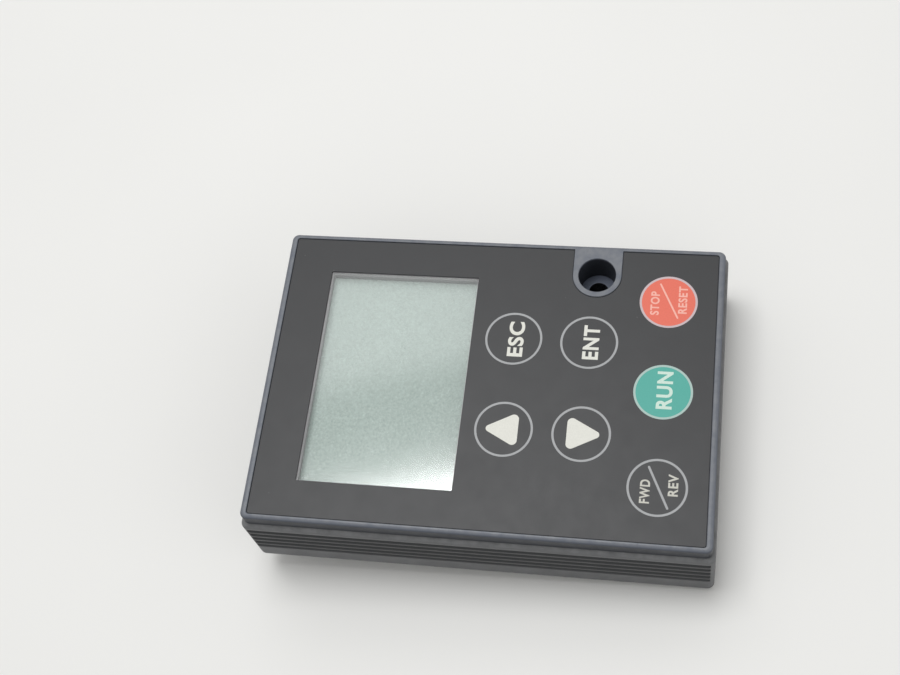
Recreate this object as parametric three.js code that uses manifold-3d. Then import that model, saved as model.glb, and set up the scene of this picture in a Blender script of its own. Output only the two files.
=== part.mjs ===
// Operator keypad of a variable frequency drive: a flat housing that plugs onto the drive with a
// nine pin connector and is held by one screw from the front. Millimetres, +Z out of the face,
// +Y towards the display end, +X to the right when the legends are read upright.
// Z = 0 is the mating end of the connector, and X = Y = 0 is the middle of the housing.
import * as THREE from 'three';
import { mergeVertices } from 'three/addons/utils/BufferGeometryUtils.js';
import Module from 'manifold-3d';

const wasm = await Module();
wasm.setup();

// ---- driving dimensions -------------------------------------------------------------------
const CONNECTOR_PROTRUSION = 4.0;          // the connector stands out of the rear face
const BODY_THICKNESS = 18.3;               // rear face to the face film
const CORNER_RADIUS = 1.2;
const SKIN = 0.05;                         // gap between faces that rest on each other
const FIT = 0.1;                           // gap round a piece that drops into a pocket

const BEZEL = {
  width: 55.0,
  length: 78.9,
  lip: 2.9,                                // height of the outer wall below the film
  plate: 1.95,                             // thickness of the plate behind the film
  skirt: { depth: 2.5, wall: 1.2, gap: 0.25, radius: 0.8 },
};
const RIM = { height: 0.2, side: 0.85, end: 1.1, rounding: 0.6 };
const HOUSING = {
  stepOut: { side: 0.7, end: 0.5 },        // past the bezel
  wall: 2.0,
  endWall: 1.65,
  rearRounding: 1.4,
  shoulderRounding: 0.9,
};
const FILM = { thickness: 0.25, radius: 0.4 };
const WINDOW = { x: 0, y: 17.3, width: 40.2, height: 27.0, radius: 0.25 };
const OPENING = { x: 0, y: 17.5, width: 43.0, height: 29.4, radius: 0.5 };
const WINDOW_PLATE = { seat: 0.6, thickness: 1.0, radius: 0.8 };
const DISPLAY = {
  y: 17.6,
  frame: { width: 46.4, height: 31.8, wall: 0.7, top: 0.25, radius: 0.5 },
  glass: { width: 44.6, height: 30.0, thickness: 1.95 },
  backlight: { height: 25.2, gap: 0.5 },
  strip: { width: 43.5, height: 1.8, offset: 14.0 },
};

const KEY = {
  radius: 5.0,
  travel: 0.4,
  column: 8.5,                             // of the four keys below the display
  row: 13.15,
  firstRowY: -3.67,
  commandPitch: 17.05,                     // of the three keys at the end
  plungerGap: 0.15,
  flange: { reach: 0.9, thickness: 0.75 },
  stem: 2.0,
};
const SWITCH = { size: 6.0, height: 3.5, pit: 1.4, pitRadius: 1.85, button: 1.7, rise: 1.0 };
const BOARD = { width: 51.0, length: 74.0, thickness: 1.6, depth: 8.6 };
const POST = { radius: 1.6, side: [22, 0], end: [8.5, 35] };

const FIXING = { x: 21.65, y: -17.2, boss: 4.3, bore: 3.3, hole: 1.7, depth: 6.2 };
const CASE_SCREW = {
  x: 23.0, y: 35.75, pillar: 2.1, head: 2.2, headHeight: 1.5, shank: 1.15, seat: 2.6, length: 10.7,
  slot: { length: 2.4, width: 0.55, depth: 0.8 },
};
const PILLAR_SPLIT = 6.0;                  // the pillars of the two halves meet at this height
const GROOVES = { count: 5, pitch: 1.9, first: 5.0, width: 1.0, floor: 0.6, depth: 0.6, end: 0.75 };
const LABEL = { x: -1.0, y: -8.0, width: 36, height: 20, recess: 0.25, thickness: 0.18 };

const CONNECTOR = {
  y: 22.0,
  width: 16.9,
  height: 8.3,
  wall: 0.5,
  bend: 2.2,
  lean: Math.PI / 18,                      // of the two short sides
  flange: { width: 30.8, height: 12.5, thickness: 0.8, radius: 1.0 },
  insulator: { width: 19.2, height: 10.6 },
};
const JACK = { x: 12.5, acrossFlats: 4.75, tip: 0.9, shank: 1.4, thread: 1.15, hole: 1.6 };
const PIN = { pitch: 2.77, row: 2.84, radius: 0.5, tip: 0.7 };

// ---- levels along Z -----------------------------------------------------------------------
const REAR_Z = CONNECTOR_PROTRUSION;
const FLOOR_Z = REAR_Z + HOUSING.wall;
const FILM_TOP = REAR_Z + BODY_THICKNESS;
const FILM_BOTTOM = FILM_TOP - FILM.thickness;
const RIM_TOP = FILM_TOP + RIM.height;
const PLATE_BOTTOM = FILM_BOTTOM - BEZEL.plate;
const PARTING_Z = FILM_TOP - BEZEL.lip;
const WINDOW_TOP = FILM_BOTTOM - 2 * SKIN;
const BOARD_TOP = FILM_TOP - BOARD.depth;
const BOARD_BOTTOM = BOARD_TOP - BOARD.thickness;
const FRAME_TOP = PLATE_BOTTOM - 0.15;
const GLASS_TOP = FRAME_TOP - 0.3;
const GLASS_BOTTOM = GLASS_TOP - DISPLAY.glass.thickness;
const SWITCH_TOP = BOARD_TOP + SWITCH.height;
const BUTTON_TOP = SWITCH_TOP + SWITCH.rise;
const BORE_FLOOR = FILM_TOP - FIXING.depth;
const PILLAR_SPLIT_Z = REAR_Z + PILLAR_SPLIT;
const SCREW_SEAT_Z = REAR_Z + CASE_SCREW.seat;
const FLANGE_Z = FLOOR_Z + SKIN;
const BELOW = -5;                          // cutters that run right through start and end here
const ABOVE = RIM_TOP + 5;

// ---- places -------------------------------------------------------------------------------
const HALF_X = BEZEL.width / 2;
const HALF_Y = BEZEL.length / 2;
const OUTER_X = HALF_X + HOUSING.stepOut.side;
const OUTER_Y = HALF_Y + HOUSING.stepOut.end;
const CAVITY_X = OUTER_X - HOUSING.wall;
const CAVITY_Y = OUTER_Y - HOUSING.endWall;
const SIGNS = [-1, 1];

// Segments of a full circle: on round faces that show, on inner ones and on small ones.
const FINE = 24;
const COARSE = 14;
const SMALL = 8;

const BEZEL_COLOUR = 0x5a606a;
const HOUSING_COLOUR = 0x54565a;
const FILM_COLOUR = 0x4b4c50;
const RED = 0xee6f58;
const GREEN = 0x3fae9c;
const STEEL = 0xb9bcc0;
const GOLD = 0xd9b25a;
const BLACK = 0x1c1d1f;

const SECOND_ROW_Y = KEY.firstRowY - KEY.row;
const COMMAND_ROW_Y = KEY.firstRowY - 2 * KEY.row;
const KEYS = [
  { name: 'escape', x: KEY.column, y: KEY.firstRowY, colour: FILM_COLOUR },
  { name: 'up', x: -KEY.column, y: KEY.firstRowY, colour: FILM_COLOUR },
  { name: 'enter', x: KEY.column, y: SECOND_ROW_Y, colour: FILM_COLOUR },
  { name: 'down', x: -KEY.column, y: SECOND_ROW_Y, colour: FILM_COLOUR },
  { name: 'stop', x: KEY.commandPitch, y: COMMAND_ROW_Y, colour: RED },
  { name: 'run', x: 0, y: COMMAND_ROW_Y, colour: GREEN },
  { name: 'direction', x: -KEY.commandPitch, y: COMMAND_ROW_Y, colour: FILM_COLOUR },
];

// ---- solids -------------------------------------------------------------------------------
function toSolid(geometry) {
  const bare = geometry.clone();
  bare.deleteAttribute('normal');
  bare.deleteAttribute('uv');
  const merged = mergeVertices(bare, 1e-4);
  return new wasm.Manifold(new wasm.Mesh({
    numProp: 3,
    vertProperties: new Float32Array(merged.attributes.position.array),
    triVerts: new Uint32Array(merged.index.array),
  }));
}

function toGeometry(solid) {
  const { vertProperties, triVerts } = solid.getMesh();
  const geometry = new THREE.BufferGeometry();
  geometry.setAttribute('position', new THREE.BufferAttribute(vertProperties, 3));
  geometry.setIndex(new THREE.BufferAttribute(triVerts, 1));
  geometry.computeVertexNormals();
  return geometry;
}

function prism(shape, bottom, top, curveSegments = 3) {
  const options = { depth: top - bottom, bevelEnabled: false, curveSegments };
  return toSolid(new THREE.ExtrudeGeometry(shape, options).translate(0, 0, bottom));
}

function cylinder(x, y, radius, bottom, top, segments = COARSE) {
  const geometry = new THREE.CylinderGeometry(radius, radius, top - bottom, segments);
  return toSolid(geometry.rotateX(Math.PI / 2).translate(x, y, (bottom + top) / 2));
}

function block(x, y, width, height, bottom, top) {
  const geometry = new THREE.BoxGeometry(width, height, top - bottom);
  return toSolid(geometry.translate(x, y, (bottom + top) / 2));
}

// A solid of revolution round the upright line through x, y, from [radius, z] pairs.
function turned(x, y, profile, segments) {
  const points = profile.map(([radius, z]) => new THREE.Vector2(radius, z));
  return toSolid(
    new THREE.LatheGeometry(points, segments).rotateX(Math.PI / 2).translate(x, y, 0));
}

function roundedRectangle(x, y, width, height, radius) {
  const [left, right] = [x - width / 2, x + width / 2];
  const [low, high] = [y - height / 2, y + height / 2];
  const shape = new THREE.Shape();
  shape.moveTo(left + radius, low);
  shape.absarc(right - radius, low + radius, radius, -Math.PI / 2, 0);
  shape.absarc(right - radius, high - radius, radius, 0, Math.PI / 2);
  shape.absarc(left + radius, high - radius, radius, Math.PI / 2, Math.PI);
  shape.absarc(left + radius, low + radius, radius, Math.PI, 1.5 * Math.PI);
  return shape;
}

// A rounded box whose outline is set in by the profile's first value at each level.
function contouredBox(halfX, halfY, radius, profile) {
  const stepsPerCorner = 3;
  const sharpest = 0.1;
  const positions = [];
  for (const [inset, z] of profile) {
    const bend = Math.max(radius - inset, sharpest);
    for (let corner = 0; corner < 4; corner += 1) {
      const centreX = (corner === 0 || corner === 3 ? 1 : -1) * (halfX - inset - bend);
      const centreY = (corner < 2 ? 1 : -1) * (halfY - inset - bend);
      for (let step = 0; step <= stepsPerCorner; step += 1) {
        const angle = (corner + step / stepsPerCorner) * Math.PI / 2;
        positions.push(centreX + bend * Math.cos(angle), centreY + bend * Math.sin(angle), z);
      }
    }
  }
  const around = 4 * (stepsPerCorner + 1);
  const levels = profile.length;
  positions.push(0, 0, profile[0][1], 0, 0, profile[levels - 1][1]);
  const lowCentre = levels * around;
  const highCentre = lowCentre + 1;
  const last = (levels - 1) * around;
  const faces = [];
  for (let i = 0; i < around; i += 1) {
    const next = (i + 1) % around;
    faces.push(lowCentre, next, i);
    for (let level = 0; level < levels - 1; level += 1) {
      const low = level * around;
      const high = low + around;
      faces.push(low + i, low + next, high + next, low + i, high + next, high + i);
    }
    faces.push(highCentre, last + i, last + next);
  }
  const geometry = new THREE.BufferGeometry();
  geometry.setAttribute('position', new THREE.Float32BufferAttribute(positions, 3));
  geometry.setIndex(faces);
  return toSolid(geometry);
}

// Levels of a quarter round edge: rising is true where the outline grows with height.
function roundedEdge(radius, z, rising, steps = 4) {
  return Array.from({ length: steps + 1 }, (_, step) => {
    const angle = (step / steps) * Math.PI / 2;
    const along = rising ? Math.PI / 2 - angle : angle;
    const inset = radius * (1 - Math.cos(along));
    const height = radius * Math.sin(along);
    return [inset, rising ? z + radius - height : z - radius + height];
  });
}

const group = new THREE.Group();

function addMesh(name, solid, colour, roughness = 0.6, metalness = 0) {
  const material = new THREE.MeshStandardMaterial({ color: colour, roughness, metalness });
  const mesh = new THREE.Mesh(toGeometry(solid), material);
  mesh.name = name;
  group.add(mesh);
}

const addSteel = (name, solid) => addMesh(name, solid, STEEL, 0.35, 1);

function casePillars() {
  return SIGNS.flatMap((sx) => SIGNS.map((sy) => [sx * CASE_SCREW.x, sy * CASE_SCREW.y]));
}

// ---- front bezel and face film ------------------------------------------------------------
// The U-shaped tab round the fixing screw, which runs out into the bezel's side rim.
function fixingTab(clearance, bottom, top) {
  const reach = FIXING.boss + clearance;
  const edge = HALF_X - RIM.side / 2;
  const tab = new THREE.Shape();
  tab.moveTo(edge, FIXING.y + reach);
  tab.lineTo(FIXING.x, FIXING.y + reach);
  tab.absarc(FIXING.x, FIXING.y, reach, Math.PI / 2, 1.5 * Math.PI);
  tab.lineTo(edge, FIXING.y - reach);
  return prism(tab, bottom, top, FINE / 4);
}

// The pocket and hole of the display, which is larger than the clear area of the film.
function windowCut() {
  const { x, y, width, height, radius } = OPENING;
  const { seat, thickness } = WINDOW_PLATE;
  const hole = prism(roundedRectangle(x, y, width, height, radius), BELOW, ABOVE);
  const pocket = prism(
    roundedRectangle(x, y, width + 2 * seat, height + 2 * seat, WINDOW_PLATE.radius),
    WINDOW_TOP - thickness - SKIN, ABOVE);
  return hole.add(pocket);
}

function makeBezel() {
  const { depth, wall, gap, radius } = BEZEL.skirt;
  const [skirtX, skirtY] = [CAVITY_X - gap, CAVITY_Y - gap];
  const lip = contouredBox(HALF_X, HALF_Y, CORNER_RADIUS,
    [[0, PARTING_Z + SKIN], ...roundedEdge(RIM.rounding, RIM_TOP, false)]);
  const filmPocket = prism(
    roundedRectangle(0, 0, BEZEL.width - 2 * RIM.side, BEZEL.length - 2 * RIM.end, FILM.radius),
    FILM_BOTTOM - SKIN, ABOVE);
  const hollow = prism(
    roundedRectangle(0, 0, 2 * (skirtX - wall), 2 * (skirtY - wall), OPENING.radius),
    BELOW, PLATE_BOTTOM);
  const skirt = prism(roundedRectangle(0, 0, 2 * skirtX, 2 * skirtY, radius),
    PARTING_Z - depth, PARTING_Z + 1).subtract(hollow);
  let bezel = lip.subtract(hollow).subtract(filmPocket).subtract(windowCut()).add(skirt);
  for (const key of KEYS) {
    bezel = bezel.subtract(
      cylinder(key.x, key.y, KEY.radius + KEY.plungerGap, BELOW, ABOVE, FINE));
  }
  const pillarTop = PLATE_BOTTOM + 0.5;
  const pilotTop = FILM_TOP - 4.3;
  for (const [x, y] of casePillars()) {
    bezel = bezel
      .add(cylinder(x, y, CASE_SCREW.pillar, PILLAR_SPLIT_Z + 0.15, pillarTop))
      .subtract(cylinder(x, y, CASE_SCREW.shank + FIT, BELOW, pilotTop, SMALL));
  }
  const boss = cylinder(FIXING.x, FIXING.y, FIXING.boss, FLOOR_Z + 0.3, pillarTop, FINE);
  return bezel.add(fixingTab(0, PLATE_BOTTOM, RIM_TOP)).add(boss)
    .subtract(cylinder(FIXING.x, FIXING.y, FIXING.bore, BORE_FLOOR, ABOVE, FINE))
    .subtract(cylinder(FIXING.x, FIXING.y, FIXING.hole, BELOW, ABOVE));
}

function makeFilm() {
  const outline = roundedRectangle(0, 0, BEZEL.width - 2 * (RIM.side + FIT),
    BEZEL.length - 2 * (RIM.end + FIT), FILM.radius);
  const clear = roundedRectangle(WINDOW.x, WINDOW.y, WINDOW.width, WINDOW.height, WINDOW.radius);
  let film = prism(outline, FILM_BOTTOM, FILM_TOP)
    .subtract(prism(clear, BELOW, ABOVE))
    .subtract(fixingTab(FIT, BELOW, ABOVE));
  for (const key of KEYS) {
    film = film.subtract(cylinder(key.x, key.y, KEY.radius + FIT, BELOW, ABOVE, FINE));
  }
  return film;
}

function makeWindow() {
  const grow = 2 * (WINDOW_PLATE.seat - FIT);
  const outline = roundedRectangle(OPENING.x, OPENING.y, OPENING.width + grow,
    OPENING.height + grow, WINDOW_PLATE.radius - FIT);
  return prism(outline, WINDOW_TOP - WINDOW_PLATE.thickness, WINDOW_TOP);
}

// ---- rear housing -------------------------------------------------------------------------
// One groove of a side wall: its section narrows towards the groove's floor.
function grooveCutter(side, z) {
  const face = side * OUTER_X;
  const past = 0.3;                        // the cutter starts outside the wall
  const [bottom, mouth] = [face - side * GROOVES.depth, face + side * past];
  const section = new THREE.Shape([
    new THREE.Vector2(bottom, -GROOVES.floor / 2),
    new THREE.Vector2(mouth, -GROOVES.width / 2 - FIT),
    new THREE.Vector2(mouth, GROOVES.width / 2 + FIT),
    new THREE.Vector2(bottom, GROOVES.floor / 2),
  ]);
  const length = 2 * (OUTER_Y - GROOVES.end);
  const cutter = new THREE.ExtrudeGeometry(section, { depth: length, bevelEnabled: false });
  return toSolid(cutter.rotateX(Math.PI / 2).translate(0, length / 2, z));
}

function boardPosts() {
  return [POST.side, POST.end].flatMap(
    ([x, y]) => [[x, y === 0 ? 0 : -y], [-x, y === 0 ? 0 : -y]]);
}

function makeHousing() {
  const outer = contouredBox(OUTER_X, OUTER_Y, CORNER_RADIUS, [
    ...roundedEdge(HOUSING.rearRounding, REAR_Z, true),
    ...roundedEdge(HOUSING.shoulderRounding, PARTING_Z, false),
  ]);
  const cavity = roundedRectangle(0, 0, 2 * CAVITY_X, 2 * CAVITY_Y, BEZEL.skirt.radius);
  let housing = outer.subtract(prism(cavity, FLOOR_Z, ABOVE));
  const headHole = CASE_SCREW.head + 0.3;
  for (const [x, y] of casePillars()) {
    housing = housing
      .add(cylinder(x, y, headHole + 0.6, REAR_Z + 1, PILLAR_SPLIT_Z - 0.15))
      .subtract(cylinder(x, y, headHole, BELOW, SCREW_SEAT_Z))
      .subtract(cylinder(x, y, CASE_SCREW.shank + 0.25, BELOW, ABOVE));
  }
  for (const [x, y] of boardPosts()) {
    housing = housing.add(
      cylinder(x, y, POST.radius, REAR_Z + 1, BOARD_BOTTOM - SKIN, SMALL));
  }
  for (const side of SIGNS) {
    for (let i = 0; i < GROOVES.count; i += 1) {
      const z = FILM_TOP - GROOVES.first - i * GROOVES.pitch;
      housing = housing.subtract(grooveCutter(side, z));
    }
    housing = housing.subtract(
      cylinder(side * JACK.x, CONNECTOR.y, JACK.hole, BELOW, ABOVE));
  }
  const shellGap = 0.7;
  const shellHole = shellShape(CONNECTOR.width + shellGap, CONNECTOR.height + shellGap);
  return housing.subtract(prism(shellHole, BELOW, ABOVE))
    .subtract(cylinder(FIXING.x, FIXING.y, FIXING.hole + 0.2, BELOW, ABOVE))
    .subtract(block(LABEL.x, LABEL.y, LABEL.width, LABEL.height, BELOW, REAR_Z + LABEL.recess));
}

// ---- connector ----------------------------------------------------------------------------
// The D outline: the two long sides are parallel and the short sides lean in.
function shellShape(width, height) {
  const lean = height * Math.tan(CONNECTOR.lean);
  const corners = [
    [-width / 2 + lean, -height / 2], [width / 2 - lean, -height / 2],
    [width / 2, height / 2], [-width / 2, height / 2],
  ].map(([x, y]) => new THREE.Vector2(x, CONNECTOR.y + y));
  const shape = new THREE.Shape();
  const towards = (from, to) => to.clone().sub(from).setLength(CONNECTOR.bend).add(from);
  corners.forEach((corner, i) => {
    const before = towards(corner, corners[(i + 3) % 4]);
    const after = towards(corner, corners[(i + 1) % 4]);
    if (i === 0) shape.moveTo(before.x, before.y);
    else shape.lineTo(before.x, before.y);
    shape.quadraticCurveTo(corner.x, corner.y, after.x, after.y);
  });
  return shape;
}

// Five pins in the row nearer the display end and four in the other.
function pinPlaces() {
  const places = [];
  for (const [count, side] of [[5, 1], [4, -1]]) {
    for (let i = 0; i < count; i += 1) {
      const x = (i - (count - 1) / 2) * PIN.pitch;
      places.push([x, CONNECTOR.y + side * PIN.row / 2]);
    }
  }
  return places;
}

function makeShell() {
  const { flange, width, height, wall } = CONNECTOR;
  const flangePlate = prism(
    roundedRectangle(0, CONNECTOR.y, flange.width, flange.height, flange.radius),
    FLANGE_Z, FLANGE_Z + flange.thickness);
  const collar = prism(shellShape(width, height), 0, FLANGE_Z + flange.thickness / 2);
  let shell = flangePlate.add(collar)
    .subtract(prism(shellShape(width - 2 * wall, height - 2 * wall), BELOW, ABOVE));
  for (const side of SIGNS) {
    shell = shell.subtract(cylinder(side * JACK.x, CONNECTOR.y, JACK.hole, BELOW, ABOVE));
  }
  return shell;
}

function makeInsulator() {
  const inset = 2 * (CONNECTOR.wall + FIT);
  const { width, height } = CONNECTOR.insulator;
  const nose = prism(shellShape(CONNECTOR.width - inset, CONNECTOR.height - inset),
    FLANGE_Z - 0.6, FLANGE_Z + 1.2);
  const backZ = FLANGE_Z + CONNECTOR.flange.thickness + SKIN;
  let insulator = nose.add(block(0, CONNECTOR.y, width, height, backZ, BOARD_BOTTOM - FIT));
  for (const [x, y] of pinPlaces()) {
    insulator = insulator.subtract(cylinder(x, y, PIN.radius + SKIN, BELOW, ABOVE, SMALL));
  }
  return insulator;
}

function makePin(x, y) {
  const end = BOARD_TOP + 0.25;
  return turned(x, y, [
    [0, PIN.tip], [0.6 * PIN.radius, PIN.tip + SKIN], [PIN.radius, PIN.tip + PIN.radius],
    [PIN.radius, end], [0, end],
  ], SMALL);
}

function makeJackNut(x) {
  const hexRadius = JACK.acrossFlats / Math.sqrt(3);
  return cylinder(x, CONNECTOR.y, hexRadius, JACK.tip, REAR_Z - SKIN, 6)
    .add(cylinder(x, CONNECTOR.y, JACK.shank, REAR_Z - 1, FLANGE_Z + 2.2))
    .subtract(cylinder(x, CONNECTOR.y, JACK.thread, BELOW, REAR_Z, SMALL));
}

// ---- display and board --------------------------------------------------------------------
function makeDisplayFrame() {
  const { width, height, wall, top, radius } = DISPLAY.frame;
  const inner = block(0, DISPLAY.y, width - 2 * wall, height - 2 * wall, BELOW, FRAME_TOP - top);
  return prism(roundedRectangle(0, DISPLAY.y, width, height, radius), BOARD_TOP + 0.2, FRAME_TOP)
    .subtract(inner)
    .subtract(block(OPENING.x, OPENING.y, OPENING.width + 0.4, OPENING.height + 0.2,
      BELOW, ABOVE));
}

function makeBoard() {
  let board = block(0, 0, BOARD.width, BOARD.length, BOARD_BOTTOM, BOARD_TOP);
  const notch = 10;                        // side of the block that cuts each corner
  const shift = notch / 2 - CASE_SCREW.pillar - 0.5;
  for (const [x, y] of casePillars()) {
    board = board.subtract(
      block(x + Math.sign(x) * shift, y + Math.sign(y) * shift, notch, notch, BELOW, ABOVE));
  }
  board = board.subtract(
    cylinder(FIXING.x, FIXING.y, FIXING.boss + 0.3, BELOW, ABOVE, FINE));
  for (const [x, y] of pinPlaces()) {
    board = board.subtract(cylinder(x, y, PIN.radius + FIT, BELOW, ABOVE, SMALL));
  }
  return board;
}

function addDisplay() {
  const { glass, backlight, strip, y } = DISPLAY;
  const underGlass = GLASS_BOTTOM - SKIN;
  addSteel('display_frame', makeDisplayFrame());
  addMesh('display_glass',
    block(0, y, glass.width, glass.height, GLASS_BOTTOM, GLASS_TOP), 0xb4bcb6, 0.2);
  addMesh('display_backlight', block(0, y, glass.width, backlight.height,
    BOARD_TOP + SKIN + backlight.gap, underGlass), 0xe8e8e2, 0.5);
  for (const [name, side] of [['upper', 1], ['lower', -1]]) {
    addMesh(`contact_strip_${name}`, block(0, y + side * strip.offset, strip.width,
      strip.height, BOARD_TOP + SKIN, underGlass), 0xc98a8a, 0.8);
  }
}

function addBoardParts() {
  const base = BOARD_TOP + SKIN;
  const can = roundedRectangle(-19.5, -10.5, 4.6, 11, 2.2);
  addMesh('microcontroller', block(0, -10.2, 9, 9, base, base + 1.45), BLACK, 0.5);
  addMesh('crystal', prism(can, base, base + 3.4), STEEL, 0.3, 1);
  addMesh('capacitor', cylinder(18.5, -5.5, 2.5, base, base + 5.3), 0x2b2d33, 0.4);
  addMesh('voltage_regulator', block(18.5, -24.0, 6.5, 3.5, base, base + 1.7), BLACK, 0.5);
}

// ---- keys ---------------------------------------------------------------------------------
// The plunger: a column under the film, a flange that holds it in the bezel, and a stem.
function makePlunger(x, y) {
  const { reach, thickness } = KEY.flange;
  const flangeTop = PLATE_BOTTOM - SKIN;
  const flangeBottom = flangeTop - thickness;
  const flange = cylinder(x, y, KEY.radius + reach, flangeBottom, flangeTop, FINE)
    .intersect(block(x, y, 4 * KEY.radius, 2 * (KEY.radius - FIT), BELOW, ABOVE));
  return cylinder(x, y, KEY.radius - KEY.plungerGap, flangeBottom, FILM_BOTTOM - SKIN, FINE)
    .add(flange)
    .add(cylinder(x, y, KEY.stem, BUTTON_TOP + SKIN, PLATE_BOTTOM));
}

function addKey({ name, x, y, colour }) {
  const pitZ = SWITCH_TOP - SWITCH.pit;
  const buttonBottom = pitZ + KEY.travel + 0.2;
  addMesh(`${name}_key_face`,
    cylinder(x, y, KEY.radius - SKIN, FILM_BOTTOM, FILM_TOP, FINE), colour);
  addMesh(`${name}_key_plunger`, makePlunger(x, y), 0xd8d6cc, 0.5);
  addMesh(`${name}_switch_body`,
    block(x, y, SWITCH.size, SWITCH.size, BOARD_TOP + SKIN, SWITCH_TOP)
      .subtract(cylinder(x, y, SWITCH.pitRadius, pitZ, ABOVE)), BLACK, 0.5);
  addMesh(`${name}_switch_button`,
    cylinder(x, y, SWITCH.button, buttonBottom, BUTTON_TOP), 0x3a3b3f, 0.4);
}

// ---- screws -------------------------------------------------------------------------------
// A pan head screw with a cross recess, driven in from the back.
function makeCaseScrew(x, y) {
  const { head, headHeight, shank, length, slot } = CASE_SCREW;
  const seat = SCREW_SEAT_Z - SKIN;
  const headBottom = seat - headHeight;
  const end = SCREW_SEAT_Z + length;
  const screw = turned(x, y, [
    [0, headBottom], [head * 0.6, headBottom], [head * 0.9, headBottom + 0.35],
    [head, headBottom + 0.8], [head, seat], [shank, seat], [shank, end - 0.8], [0, end],
  ], COARSE);
  return screw
    .subtract(block(x, y, slot.length, slot.width, BELOW, headBottom + slot.depth))
    .subtract(block(x, y, slot.width, slot.length, BELOW, headBottom + slot.depth));
}

// ---- assembly -----------------------------------------------------------------------------
addMesh('front_bezel', makeBezel(), BEZEL_COLOUR);
addMesh('rear_housing', makeHousing(), HOUSING_COLOUR);
addMesh('face_film', makeFilm(), FILM_COLOUR);
addMesh('display_window', makeWindow(), 0xdde4e2, 0.1);
addDisplay();
addMesh('circuit_board', makeBoard(), 0x2f6b45, 0.5);
addBoardParts();
KEYS.forEach(addKey);

addSteel('connector_shell', makeShell());
addMesh('connector_insulator', makeInsulator(), BLACK, 0.5);
pinPlaces().forEach(([x, y], i) => addMesh(`connector_pin_${i + 1}`, makePin(x, y), GOLD, 0.3, 1));
addSteel('jack_nut_left', makeJackNut(-JACK.x));
addSteel('jack_nut_right', makeJackNut(JACK.x));

addMesh('rear_label', block(LABEL.x, LABEL.y, LABEL.width - 4 * FIT, LABEL.height - 4 * FIT,
  REAR_Z + SKIN / 2, REAR_Z + SKIN / 2 + LABEL.thickness), 0xc4c6c8, 0.4);
for (const [endName, endSign] of [['top', 1], ['bottom', -1]]) {
  for (const [sideName, sideSign] of [['left', -1], ['right', 1]]) {
    addSteel(`case_screw_${endName}_${sideName}`,
      makeCaseScrew(sideSign * CASE_SCREW.x, endSign * CASE_SCREW.y));
  }
}

export default group;
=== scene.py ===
"""Looks of a plug-in operator keypad: moulded shells, membrane film with seven keys, display and
rear connector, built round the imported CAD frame. Lengths are millimetres until a mesh is finished,
and places come from the boxes of the CAD nodes wherever they can."""

import math

import bmesh
import bpy
from mathutils import Euler, Matrix, Vector


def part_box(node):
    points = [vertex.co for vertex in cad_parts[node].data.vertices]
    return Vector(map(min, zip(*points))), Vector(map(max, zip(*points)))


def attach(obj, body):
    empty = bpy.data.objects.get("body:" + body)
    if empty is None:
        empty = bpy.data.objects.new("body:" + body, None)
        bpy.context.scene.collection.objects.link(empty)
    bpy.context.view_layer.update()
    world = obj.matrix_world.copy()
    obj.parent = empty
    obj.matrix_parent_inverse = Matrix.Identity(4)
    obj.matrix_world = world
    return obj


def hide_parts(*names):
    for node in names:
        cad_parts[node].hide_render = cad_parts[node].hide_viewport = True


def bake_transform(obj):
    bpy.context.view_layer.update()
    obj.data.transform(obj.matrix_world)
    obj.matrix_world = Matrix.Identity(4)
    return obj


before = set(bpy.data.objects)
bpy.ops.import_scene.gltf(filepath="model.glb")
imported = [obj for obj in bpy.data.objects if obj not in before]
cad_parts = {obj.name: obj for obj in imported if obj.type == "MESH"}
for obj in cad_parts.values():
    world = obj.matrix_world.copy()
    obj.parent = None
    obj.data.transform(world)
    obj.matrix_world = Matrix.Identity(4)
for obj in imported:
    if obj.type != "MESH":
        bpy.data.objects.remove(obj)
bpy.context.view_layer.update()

MM = 0.001
CASE = "case"

# ---- sizes that the boxes of the CAD nodes don't give, in millimetres
CORNER_RADIUS = 1.2
RIM_SIDE = 0.85
RIM_END = 1.1
RIM_OUTER_ROUNDING = 0.65
RIM_INNER_ROUNDING = 0.15
FILM_CORNER = 0.35
PLATE_BEHIND_FILM = 1.95
SKIRT_DEPTH = 2.5
SKIRT_WALL = 1.2
SKIRT_GAP = 0.25
HOUSING_WALL = 2.0
HOUSING_END_WALL = 1.65
REAR_ROUNDING = 1.4
SHOULDER_ROUNDING = 0.9
WINDOW = (0.0, 17.3, 20.1, 13.5)     # middle in X and Y, half width and half height
WINDOW_CORNER = 0.25
OPENING = (0.0, 17.5, 21.5, 14.7)    # of the bezel, as above
OPENING_CORNER = 0.5
WINDOW_SEAT = 0.6
FIXING = {"x": 21.65, "y": -17.2, "boss": 4.3, "bore": 3.3, "hole": 1.7, "depth": 6.2}
GROOVE = {
    "count": 5, "pitch": 1.9, "first": 5.0,                     # first: below the film
    "mouth": 1.15, "floor": 0.7, "depth": 0.45, "end": 0.75,    # end: from the short ends
}
SCREW = {"pillar": 2.1, "head_hole": 2.5, "shank": 1.15, "seat": 2.6, "split": 6.0}
POSTS = [(22.0, 0.0), (-22.0, 0.0), (8.5, -35.0), (-8.5, -35.0)]
POST_RADIUS = 1.6
CONNECTOR = {"width": 16.9, "height": 8.3, "bend": 2.2, "lean": math.radians(10.0), "wall": 0.5}
DIMPLE = {"x": 4.2, "z": 3.0, "radius": 1.1, "depth": 0.22}     # on the connector's collar
JACK = {"x": 12.5, "hole": 1.6, "thread": 1.15}
LABEL_RECESS = 0.25

KEY_RING = 5.0
KEY_RING_STROKE = 0.38
KEY_PATCH = 5.25                    # radius of the round piece of film that each key carries
KEY_FLEX = (4.55, 5.16)             # the film bends between these radii
KEY_STEP = 0.01                     # the key's face lies this much below the film

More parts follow.
